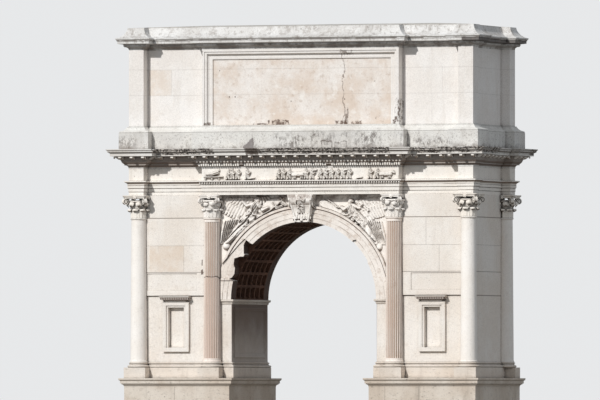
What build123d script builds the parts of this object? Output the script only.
from build123d import *
import math
import os

os.makedirs("parts", exist_ok=True)

# All sizes in millimetres. X runs along the face, the front is -Y, Z is up.
# The origin is on the ground, in the middle of the passage.

# Plan
passage_width = 5360
jamb_set_back = 110
podium_half_width = 6750
podium_half_depth = 2375
podium_edge_to_wall = 470
wall_half_depth = 1825
corner_step_x = 340
front_step_y = 420
corner_block_width = 570
centre_beyond_column = 285
facing_depth = 400

# Heights of the courses, from the ground up
podium_base_height = 700
podium_die_height = 1673
podium_cornice_height = 300
plinth_height = 387
base_height = 200
shaft_height = 5201
capital_height = 824
architrave_height = 521
frieze_height = 450
cornice_height = 695
attic_plinth_height = 591
attic_base_height = 257
attic_wall_height = 2741
attic_cornice_height = 810
roof_rise = 130

# How far the mouldings stand out
podium_base_out = 150
podium_cornice_out = 165
base_out = 100
impost_out = 90
architrave_out = 135
cornice_out = 650
attic_plinth_out = 285
attic_cornice_out = 385

# Columns
outer_column_inset = 400
inner_column_from_jamb = 820
column_off_wall = 135
inner_shaft_radius = 315
outer_shaft_radius = 300
shaft_taper = 35
plinth_half = 415
flute_count = 24
outer_abacus_half = 470
inner_abacus_half = 400
abacus_height = 110
volute_radius = 120
volute_width = 110

# Arch
key_height = 979
impost_height = 176
archivolt_width = 590
archivolt_depth = 135
lining_thickness = 260
facing_courses = 4
voussoirs = 14
coffers_along = 6
coffers_around = 18
coffer_rib = 95
coffer_step = 55
coffer_depth = 75
key_top_half = 490
key_bottom_half = 275
key_foot_depth = 250

# Blind windows in the piers, and the thicker wall over them
window_half = 305
window_foot_rise = 522
window_head_drop = 284
window_depth = 130
frame_border = 200
frame_depth = 110
sill_height = 150
hood_height = 200
hood_out = 190
hood_to_step = 28
wall_step_out = 70
panel_from_inner = 620
panel_from_outer = 310
panel_gap = 180
panel_height = 620
panel_sunk = 30

# Tablet on the attic
tablet_margin = 90
tablet_top_drop = 84
tablet_band = 270
tablet_depth = 200

# Chamber in the attic
chamber_wall = 900

# Sizes that follow from the others
passage_wall_x = passage_width / 2 + jamb_set_back
wall_x = podium_half_width - podium_edge_to_wall
wall_y = wall_half_depth
corner_x = wall_x + corner_step_x
front_y = wall_y + front_step_y
column_y = wall_y + column_off_wall
arch_radius = passage_wall_x
outer_column_x = podium_half_width - outer_column_inset
inner_column_x = passage_width / 2 + inner_column_from_jamb
centre_half_width = inner_column_x + centre_beyond_column
everywhere = 3 * podium_half_width

podium_die_top = podium_base_height + podium_die_height
podium_top = podium_die_top + podium_cornice_height
plinth_top = podium_top + plinth_height
base_top = plinth_top + base_height
shaft_top = base_top + shaft_height
capital_top = shaft_top + capital_height
architrave_top = capital_top + architrave_height
frieze_top = architrave_top + frieze_height
cornice_top = frieze_top + cornice_height
attic_plinth_top = cornice_top + attic_plinth_height
attic_base_top = attic_plinth_top + attic_base_height
attic_wall_top = attic_base_top + attic_wall_height
attic_top = attic_wall_top + attic_cornice_height

crown_height = capital_top - key_height
springing_z = crown_height - arch_radius
window_x = (inner_column_x + outer_column_x) / 2
window_head_z = springing_z - window_head_drop
window_height = window_head_z - base_top - window_foot_rise
wall_step_z = window_head_z + frame_border + hood_height + hood_to_step
panel_left = inner_column_x + panel_from_inner
panel_right = outer_column_x - panel_from_outer
panel_bottom = wall_step_z + panel_gap


def block(x0, x1, y0, y1, z0, z1):
    middle = Pos((x0 + x1) / 2, (y0 + y1) / 2, (z0 + z1) / 2)
    return middle * Box(x1 - x0, y1 - y0, z1 - z0)


def both_ways(shape, plane):
    return shape + mirror(shape, plane)


def stepped_plan(out):
    """The plan of everything over the columns, moved outwards."""
    quarter = [
        (wall_x + out, front_y - corner_block_width - out),
        (corner_x + out, front_y - corner_block_width - out),
        (corner_x + out, front_y + out),
        (corner_x - corner_block_width - out, front_y + out),
        (corner_x - corner_block_width - out, wall_y + out),
        (centre_half_width + out, wall_y + out),
        (centre_half_width + out, front_y + out),
    ]
    half = quarter + [(-x, y) for x, y in reversed(quarter)]
    rear = [(-x, -y) for x, y in half]
    return [(wall_x + out, 0)] + half + [(-wall_x - out, 0)] + rear


def oblong_plan(x0, x1, half_depth):
    def plan(out):
        return [
            (x1 + out, 0),
            (x1 + out, half_depth + out),
            (x0 - out, half_depth + out),
            (x0 - out, -half_depth - out),
            (x1 + out, -half_depth - out),
        ]

    return plan


def prism(points, z0, z1):
    outline = Polyline([(x, y, z0) for x, y in points], close=True)
    return extrude(make_face(outline), z1 - z0, dir=(0, 0, 1))


def moulding(z0, z1, reach, shares):
    """Steps as shares of the reach and of the height; a third value bends the run."""
    return [(reach * out, z0 + (z1 - z0) * up, *bend) for out, up, *bend in shares]


def profile_edges(steps, place):
    edges = []
    for (p0, z0, *_), (p1, z1, *bend) in zip(steps, steps[1:]):
        if bend:
            middle_p = (p0 + p1) / 2 + (z1 - z0) * bend[0]
            middle_z = (z0 + z1) / 2 - (p1 - p0) * bend[0]
            edges.append(ThreePointArc(place(p0, z0), place(middle_p, middle_z), place(p1, z1)))
        else:
            edges.append(Line(place(p0, z0), place(p1, z1)))
    return edges


def course(plan, steps, inside=120):
    """A solid course whose edge carries a moulding all the way round."""
    first_z = steps[0][1]
    last_z = steps[-1][1]
    loop = [(-inside, first_z)] + steps + [(-inside, last_z), (-inside, first_z)]
    start_x, start_y = plan(0)[0]
    face = make_face(profile_edges(loop, lambda p, z: (start_x + p, start_y, z)))
    path = Polyline([(x, y, first_z) for x, y in plan(0)], close=True)
    edge = sweep(face, path=path, transition=Transition.RIGHT)
    return edge + prism(plan(-inside), first_z, last_z)


def turned(steps, radius, x, y):
    """A solid with the moulding turned round an upright axis."""
    first_z = steps[0][1]
    last_z = steps[-1][1]
    loop = [(-radius, first_z)] + steps + [(-radius, last_z), (-radius, first_z)]
    face = make_face(profile_edges(loop, lambda p, z: (radius + p, 0, z)))
    return Pos(x, y, 0) * revolve(face, Axis.Z, 360)


def save(shape, name):
    shape.label = name
    export_step(shape, f"parts/{name}.step")


# Podiums
podium_plan = oblong_plan(passage_width / 2, podium_half_width, podium_half_depth)
podium_base_shares = [(1, 0), (1, 0.6), (0.75, 0.6), (0.75, 0.72, 0.5), (0.5, 0.72), (0.5, 0.76)]
podium_steps = moulding(0, podium_base_height, podium_base_out, podium_base_shares)
podium_steps += [(0, podium_base_height, -0.2), (0, podium_die_top)]
podium = course(podium_plan, podium_steps)
podium_cornice_shares = [
    (0.05, 0),
    (0.4, 0.25, -0.2),
    (0.48, 0.25),
    (0.48, 0.36),
    (0.7, 0.36),
    (0.7, 0.7),
    (1, 0.9, 0.2),
    (1, 1),
]
podium_cornice = course(
    podium_plan,
    moulding(podium_die_top, podium_top, podium_cornice_out, podium_cornice_shares),
)

# Column bases, with the same mouldings along the foot of the wall
wall_plan = oblong_plan(passage_wall_x, wall_x, wall_y)
base_shares = [
    (0.6, 0),
    (0.6, 0.42, 0.5),
    (0.45, 0.42),
    (0.45, 0.48),
    (0.28, 0.68, -0.25),
    (0.3, 0.68),
    (0.3, 0.92, 0.5),
    (0.2, 0.92),
    (0.2, 1),
]
base_steps = moulding(plinth_top, base_top, base_out, base_shares)
base_course = course(wall_plan, base_steps)
base_course += prism(wall_plan(base_out), podium_top, plinth_top)
for x, radius in ((inner_column_x, inner_shaft_radius), (outer_column_x, outer_shaft_radius)):
    foot = turned(base_steps, radius, x, column_y)
    foot += block(
        x - plinth_half,
        x + plinth_half,
        wall_y,
        column_y + plinth_half,
        podium_top,
        plinth_top,
    )
    base_course += both_ways(foot, Plane.XZ)

# Piers, with a blind window in each face and a sunk panel over it
jamb = block(passage_wall_x, wall_x, -wall_y, wall_y, base_top, springing_z)
upper = block(inner_column_x, wall_x, -wall_y, wall_y, springing_z, capital_top)
niche = block(
    window_x - window_half,
    window_x + window_half,
    wall_y - window_depth,
    wall_y,
    window_head_z - window_height,
    window_head_z,
)
thicker_y = wall_y + wall_step_out
thicker = block(inner_column_x, outer_column_x, wall_y, thicker_y, wall_step_z, capital_top)
thicker -= block(
    panel_left,
    panel_right,
    thicker_y - panel_sunk,
    thicker_y,
    panel_bottom,
    panel_bottom + panel_height,
)
pier = jamb + upper - both_ways(niche, Plane.XZ) + both_ways(thicker, Plane.XZ)
wall_mass = block(passage_wall_x, wall_x, -wall_y, wall_y, 0, capital_top)
wall_mass += both_ways(thicker, Plane.XZ)

# Window frames with a sill and a hood
frame_half = window_half + frame_border
frame_top = window_head_z + frame_border
frame_bottom = window_head_z - window_height - sill_height
face_y = wall_y + frame_depth
frame = block(
    window_x - frame_half, window_x + frame_half, wall_y, face_y, frame_bottom, frame_top
)
frame -= block(
    window_x - window_half,
    window_x + window_half,
    wall_y,
    face_y,
    window_head_z - window_height,
    window_head_z,
)
rebate = block(
    window_x - window_half - frame_border / 3,
    window_x + window_half + frame_border / 3,
    face_y - frame_depth / 3,
    face_y,
    window_head_z - window_height,
    window_head_z + frame_border / 3,
)
frame -= rebate
hood_shares = [(0, 0), (0.3, 0.35, -0.2), (0.8, 0.4), (0.8, 0.72), (1, 0.9, 0.15), (1, 1)]
hood_steps = moulding(frame_top, frame_top + hood_height, hood_out, hood_shares)
hood_plan = oblong_plan(window_x - frame_half + 120, window_x + frame_half - 120, face_y)
hood = course(hood_plan, hood_steps)
hood = hood & block(0, everywhere, wall_y, everywhere, 0, everywhere)
window_frame = frame + hood

# Columns
shaft_steps = [
    (22, base_top),
    (22, base_top + 30),
    (0, base_top + 70, -0.2),
    (-shaft_taper, shaft_top - 90),
    (12 - shaft_taper, shaft_top - 50, -0.2),
    (12 - shaft_taper, shaft_top, 0.5),
]


def shaft(x, radius, fluted):
    solid = turned(shaft_steps, radius, x, column_y)
    if fluted:
        low_z = base_top + 130
        rise = shaft_top - 150 - low_z
        lean = math.degrees(math.atan(shaft_taper / rise))
        low = math.pi * radius / flute_count * 0.8
        high = low * (radius - shaft_taper) / radius
        flute = Cone(low, high, rise, align=(Align.CENTER, Align.CENTER, Align.MIN))
        flute = Pos(radius, 0, 0) * Rot(0, -lean, 0) * flute
        turns = [(i + 0.5) * 360 / flute_count for i in range(flute_count)]
        solid -= [
            Pos(x, column_y, low_z) * Rot(0, 0, turn) * flute
            for turn in turns
            if turn < 200 or turn > 340
        ]
    return solid - wall_mass


bell_shares = [
    (-0.05, 0),
    (0.5, 0.28, -0.12),
    (0.14, 0.3),
    (0.77, 0.57, -0.12),
    (0.36, 0.6),
    (0.36, 0.68),
    (1, 0.8, 0.3),
    (1, 1),
]
bell_top = capital_top - abacus_height


def capital(x, radius, abacus_half):
    bell_steps = moulding(shaft_top, bell_top, abacus_half * 0.24, bell_shares)
    solid = turned(bell_steps, radius - shaft_taper, x, column_y)
    slab = Box(2 * abacus_half, 2 * abacus_half, abacus_height)
    sweep_radius = abacus_half * 1.9
    hollow = Pos(abacus_half * 0.84 + sweep_radius, 0, 0) * Cylinder(sweep_radius, abacus_height)
    slab -= [Rot(0, 0, turn) * hollow for turn in (0, 90, 180, 270)]
    solid += Pos(x, column_y, capital_top - abacus_height / 2) * slab
    volute = Pos(abacus_half * 1.12, 0, 0) * Rot(90, 0, 0) * Cylinder(volute_radius, volute_width)
    for turn in (45, 135, 225, 315):
        place = Pos(x, column_y, bell_top - volute_radius + 15)
        solid += place * Rot(0, 0, turn) * volute
    return solid - wall_mass


# Imposts, round the inner end of each pier
impost_shares = [(0.1, 0), (0.3, 0.3, 0.2), (0.4, 0.3), (0.4, 0.5), (1, 0.75, 0.25), (1, 1)]
impost_steps = moulding(springing_z - impost_height, springing_z, impost_out, impost_shares)
impost = course(wall_plan, impost_steps) - wall_mass
impost = impost & block(0, inner_column_x, -everywhere, everywhere, 0, everywhere)
column_place = Pos(inner_column_x, column_y, springing_z)
column_room = column_place * Cylinder(inner_shaft_radius + 3, everywhere)
impost -= both_ways(column_room, Plane.XZ)

# Masonry over the passage, and the coffered lining of the barrel
core_half_depth = wall_y - facing_depth
over_axis = Pos(0, 0, springing_z) * Rot(90, 0, 0)
arch_axis = Axis((0, 0, springing_z), (0, -1, 0))
centre_bay = block(
    -inner_column_x, inner_column_x, -wall_y, wall_y, springing_z, capital_top
)
barrel = over_axis * Cylinder(arch_radius, everywhere)
facing_zone = block(-everywhere, everywhere, -wall_y, -core_half_depth, 0, everywhere)
core_zone = block(
    -everywhere, everywhere, -core_half_depth, core_half_depth, 0, everywhere
)
facing = (centre_bay - barrel) & facing_zone
facing_height = (capital_top - springing_z) / facing_courses
spandrel = []
for i in range(facing_courses):
    bed = springing_z + i * facing_height
    half_course = block(0, inner_column_x, -wall_y, -core_half_depth, bed, bed + facing_height)
    spandrel += [facing & half_course, facing & mirror(half_course, Plane.YZ)]
lining_radius = arch_radius + lining_thickness
vault = (centre_bay - over_axis * Cylinder(lining_radius, everywhere)) & core_zone
course_angle = 180 / coffers_around
cell_along = 2 * core_half_depth / coffers_along
cell_around = math.pi * arch_radius / coffers_around
course_section = Polyline(
    [
        (arch_radius, -core_half_depth, springing_z),
        (lining_radius, -core_half_depth, springing_z),
        (lining_radius, core_half_depth, springing_z),
        (arch_radius, core_half_depth, springing_z),
    ],
    close=True,
)
vault_course = revolve(make_face(course_section), arch_axis, course_angle)
middle_of_course = over_axis * Rot(0, 0, course_angle / 2)
for j in range(coffers_along):
    place = middle_of_course * Pos(arch_radius, 0, (j + 0.5) * cell_along - core_half_depth)
    vault_course -= place * Box(
        2 * coffer_depth, cell_around - coffer_rib, cell_along - coffer_rib
    )
    vault_course -= place * Box(
        4 * coffer_depth,
        cell_around - coffer_rib - 2 * coffer_step,
        cell_along - coffer_rib - 2 * coffer_step,
    )
lining = Compound([vault_course.rotate(arch_axis, i * course_angle) for i in range(coffers_around)])

# Moulded ring of the arch, with its broken places on the front
ring_shares = [
    (0, 0.6),
    (0.25, 0.6),
    (0.25, 0.68),
    (0.55, 0.68),
    (0.55, 0.76),
    (0.8, 0.76),
    (0.93, 1, -0.2),
    (1, 1),
    (1, 0),
    (0, 0),
    (0, 0.6),
]
ring_steps = [
    (archivolt_width * across, archivolt_depth * out, *bend)
    for across, out, *bend in ring_shares
]
ring_face = make_face(
    profile_edges(ring_steps, lambda r, d: (arch_radius + r, -wall_y - d, springing_z))
)
voussoir = revolve(ring_face, arch_axis, 180 / voussoirs)

key_bottom = crown_height - 12
key_rise = capital_top - key_bottom
key_side = make_face(
    [
        Line((0, -wall_y, key_bottom), (0, -wall_y - key_foot_depth, key_bottom)),
        ThreePointArc(
            (0, -wall_y - key_foot_depth, key_bottom),
            (0, -wall_y - key_foot_depth - 20, key_bottom + key_rise * 0.33),
            (0, -wall_y - key_foot_depth - 110, key_bottom + key_rise * 0.62),
        ),
        ThreePointArc(
            (0, -wall_y - key_foot_depth - 110, key_bottom + key_rise * 0.62),
            (0, -front_y - 40, key_bottom + key_rise * 0.8),
            (0, -front_y + 5, capital_top),
        ),
        Line((0, -front_y + 5, capital_top), (0, -wall_y, capital_top)),
        Line((0, -wall_y, capital_top), (0, -wall_y, key_bottom)),
    ]
)
key_bar = extrude(key_side, key_top_half + 20, dir=(1, 0, 0), both=True)
key_front = Polyline(
    [
        (-key_bottom_half, 0, key_bottom),
        (key_bottom_half, 0, key_bottom),
        (key_top_half, 0, capital_top),
        (-key_top_half, 0, capital_top),
    ],
    close=True,
)
key_wedge = extrude(make_face(key_front), 2 * front_y, dir=(0, -1, 0))
keystone = key_bar & key_wedge


def broken(points, back):
    """A break through the arch; each point is an angle and a share of the ring's width."""
    places = []
    for angle, share in points:
        radius = arch_radius + archivolt_width * share
        x = radius * math.cos(math.radians(angle))
        z = springing_z + radius * math.sin(math.radians(angle))
        places.append((x, -back, z))
    return extrude(make_face(Polyline(places, close=True)), front_y, dir=(0, -1, 0))


def trimmed(stones, cutters):
    """What is left of each stone, in one compound."""
    left = []
    for stone in stones:
        for cutter in cutters:
            stone = stone - cutter
        left += stone.solids()
    return Compound(left)


upper_break = [(133.5, -0.2), (135.5, 0.18), (136, 0.5), (139.5, 0.42), (144.3, 0.08), (145.5, -0.2)]
lower_break = [
    (145, -0.2),
    (147.5, 0.16),
    (151, 0.45),
    (155, 0.32),
    (157, 0.15),
    (161, 0.06),
    (164, 0.15),
    (165.5, 0.3),
    (166, 0.02),
    (166.5, -0.2),
]
right_break = [(47, -0.2), (48, 0.1), (46.5, 0.26), (44, 0.12), (30, 0.1), (22, -0.2)]
worn_place = [
    (134, -0.2),
    (136, 0.6),
    (141, 0.66),
    (150, 0.78),
    (160, 1.1),
    (166, 1.1),
    (166, -0.2),
]
breaks = [broken(place, core_half_depth) for place in (upper_break, lower_break)]
chips = [
    broken(right_break, wall_y),
    broken(worn_place, wall_y + archivolt_depth * 0.4),
]
fitted = [key_wedge, both_ways(mirror(column_room, Plane.XZ), Plane.YZ)]
ring = [voussoir.rotate(arch_axis, i * 180 / voussoirs) for i in range(voussoirs)]
archivolt_front = trimmed(ring, fitted + breaks + chips)
archivolt_back = mirror(trimmed(ring, fitted), Plane.XZ)
spandrel_front = trimmed(spandrel, breaks)
spandrel_back = mirror(trimmed(spandrel, []), Plane.XZ)

# Entablature
architrave_shares = [
    (0, 0),
    (0, 0.24),
    (0.1, 0.24),
    (0.1, 0.48),
    (0.28, 0.5),
    (0.32, 0.66),
    (0.6, 0.86, -0.2),
    (0.82, 0.9),
    (1, 0.92),
    (1, 1),
]
architrave = course(
    stepped_plan,
    moulding(capital_top, architrave_top, architrave_out, architrave_shares),
)
frieze = prism(stepped_plan(0), architrave_top, frieze_top)
cornice_shares = [
    (0.02, 0),
    (0.16, 0.17, -0.25),
    (0.2, 0.17),
    (0.2, 0.24),
    (0.22, 0.24),
    (0.34, 0.42, 0.1),
    (0.36, 0.42),
    (0.36, 0.47),
    (0.38, 0.63),
    (0.82, 0.64),
    (0.82, 0.79),
    (0.85, 0.8),
    (0.88, 0.83),
    (0.935, 0.85, 0.2),
    (0.935, 0.89),
    (0.95, 0.9),
    (1, 0.95, -0.2),
    (1, 1),
]
cornice = course(stepped_plan, moulding(frieze_top, cornice_top, cornice_out, cornice_shares))

# Attic
attic_base_shares = [
    (1, 0),
    (0.94, 0),
    (0.85, 0.25, 0.3),
    (0.2, 0.8, -0.12),
    (0.16, 0.8),
    (0.1, 0.9, 0.4),
    (0, 0.92),
    (0, 1),
]
attic_base_steps = [(attic_plinth_out, cornice_top)]
attic_base_steps += moulding(attic_plinth_top, attic_base_top, attic_plinth_out, attic_base_shares)
attic_base = course(stepped_plan, attic_base_steps)
chamber = block(
    chamber_wall - wall_x,
    wall_x - chamber_wall,
    chamber_wall - wall_y,
    wall_y - chamber_wall,
    attic_base_top,
    attic_wall_top,
)
attic = prism(stepped_plan(0), attic_base_top, attic_wall_top) - chamber

# Sunk tablet with a moulded edge on three sides
tablet_half = centre_half_width - tablet_margin
tablet_top = attic_wall_top - tablet_top_drop
edge_shares = [
    (0, 0),
    (0, 0.15),
    (0.3, 0.2),
    (0.3, 0.35),
    (0.75, 0.7, 0.25),
    (1, 0.75),
    (1, 1),
    (2, 1),
    (2, 0),
    (0, 0),
]
edge_steps = [
    (tablet_half - tablet_band * across, tablet_depth * sunk, *bend)
    for across, sunk, *bend in edge_shares
]
edge_face = make_face(
    profile_edges(edge_steps, lambda x, d: (x, d - front_y, attic_base_top))
)
edge_path = Polyline(
    [
        (tablet_half, -front_y, attic_base_top),
        (tablet_half, -front_y, tablet_top),
        (-tablet_half, -front_y, tablet_top),
        (-tablet_half, -front_y, attic_base_top),
    ]
)
tablet_edge = sweep(edge_face, path=edge_path, transition=Transition.RIGHT)
tablet_field = block(
    tablet_band - tablet_half,
    tablet_half - tablet_band,
    -front_y,
    tablet_depth - front_y,
    attic_base_top,
    tablet_top - tablet_band,
)
attic -= both_ways(tablet_edge + tablet_field, Plane.XZ)
half_chamber = wall_y - chamber_wall
front_zone = block(-everywhere, everywhere, -everywhere, -half_chamber, 0, everywhere)
side_zone = block(0, everywhere, -half_chamber, half_chamber, 0, everywhere)
attic_front = attic & front_zone
attic_side = attic & side_zone
crown_shares = [
    (0, 0),
    (0.25, 0.14, -0.2),
    (0.3, 0.14),
    (0.4, 0.25, 0.2),
    (0.44, 0.26),
    (0.85, 0.29),
    (0.85, 0.395),
    (0.9, 0.4),
    (1, 0.48, -0.2),
    (1, 0.53),
    (0.09, 1, -0.16),
]
attic_cornice = course(
    stepped_plan,
    moulding(attic_wall_top, attic_top, attic_cornice_out, crown_shares),
)

# Low hipped roof
across_section = Polyline(
    [
        (-corner_x, -front_y, attic_top),
        (-corner_x, front_y, attic_top),
        (-corner_x, 0, attic_top + roof_rise),
    ],
    close=True,
)
along_section = Polyline(
    [
        (-corner_x, -front_y, attic_top),
        (corner_x, -front_y, attic_top),
        (corner_x - front_y, -front_y, attic_top + roof_rise),
        (front_y - corner_x, -front_y, attic_top + roof_rise),
    ],
    close=True,
)
roof = extrude(make_face(across_section), 2 * corner_x, dir=(1, 0, 0))
roof = roof & extrude(make_face(along_section), 2 * front_y, dir=(0, 1, 0))
roof = roof & prism(stepped_plan(0), attic_top, attic_top + roof_rise)

# Every piece to its own file
for name, piece in (
    ("podium", podium),
    ("podium_cornice", podium_cornice),
    ("column_bases", base_course),
    ("pier", pier),
    ("impost", impost),
    ("attic_wall", attic_side),
):
    save(piece, f"{name}_right")
    save(mirror(piece, Plane.YZ), f"{name}_left")

for name, piece in (
    ("window_frames", both_ways(mirror(window_frame, Plane.XZ), Plane.YZ)),
    ("keystone", keystone),
    ("attic_wall", attic_front),
):
    save(piece, f"{name}_front")
    save(mirror(piece, Plane.XZ), f"{name}_back")
save(archivolt_front, "archivolt_front")
save(archivolt_back, "archivolt_back")
save(spandrel_front, "spandrel_front")
save(spandrel_back, "spandrel_back")

for place, x, radius, half in (
    ("inner", inner_column_x, inner_shaft_radius, inner_abacus_half),
    ("outer", outer_column_x, outer_shaft_radius, outer_abacus_half),
):
    column_shaft = shaft(x, radius, place == "inner")
    for kind, piece in (("shaft", column_shaft), ("capital", capital(x, radius, half))):
        save(piece, f"{kind}_{place}_back_right")
        save(mirror(piece, Plane.YZ), f"{kind}_{place}_back_left")
        front = mirror(piece, Plane.XZ)
        save(front, f"{kind}_{place}_front_right")
        save(mirror(front, Plane.YZ), f"{kind}_{place}_front_left")

for name, piece in (
    ("vault", vault),
    ("vault_lining", lining),
    ("architrave", architrave),
    ("frieze", frieze),
    ("cornice", cornice),
    ("attic_base", attic_base),
    ("attic_cornice", attic_cornice),
    ("roof", roof),
):
    save(piece, name)
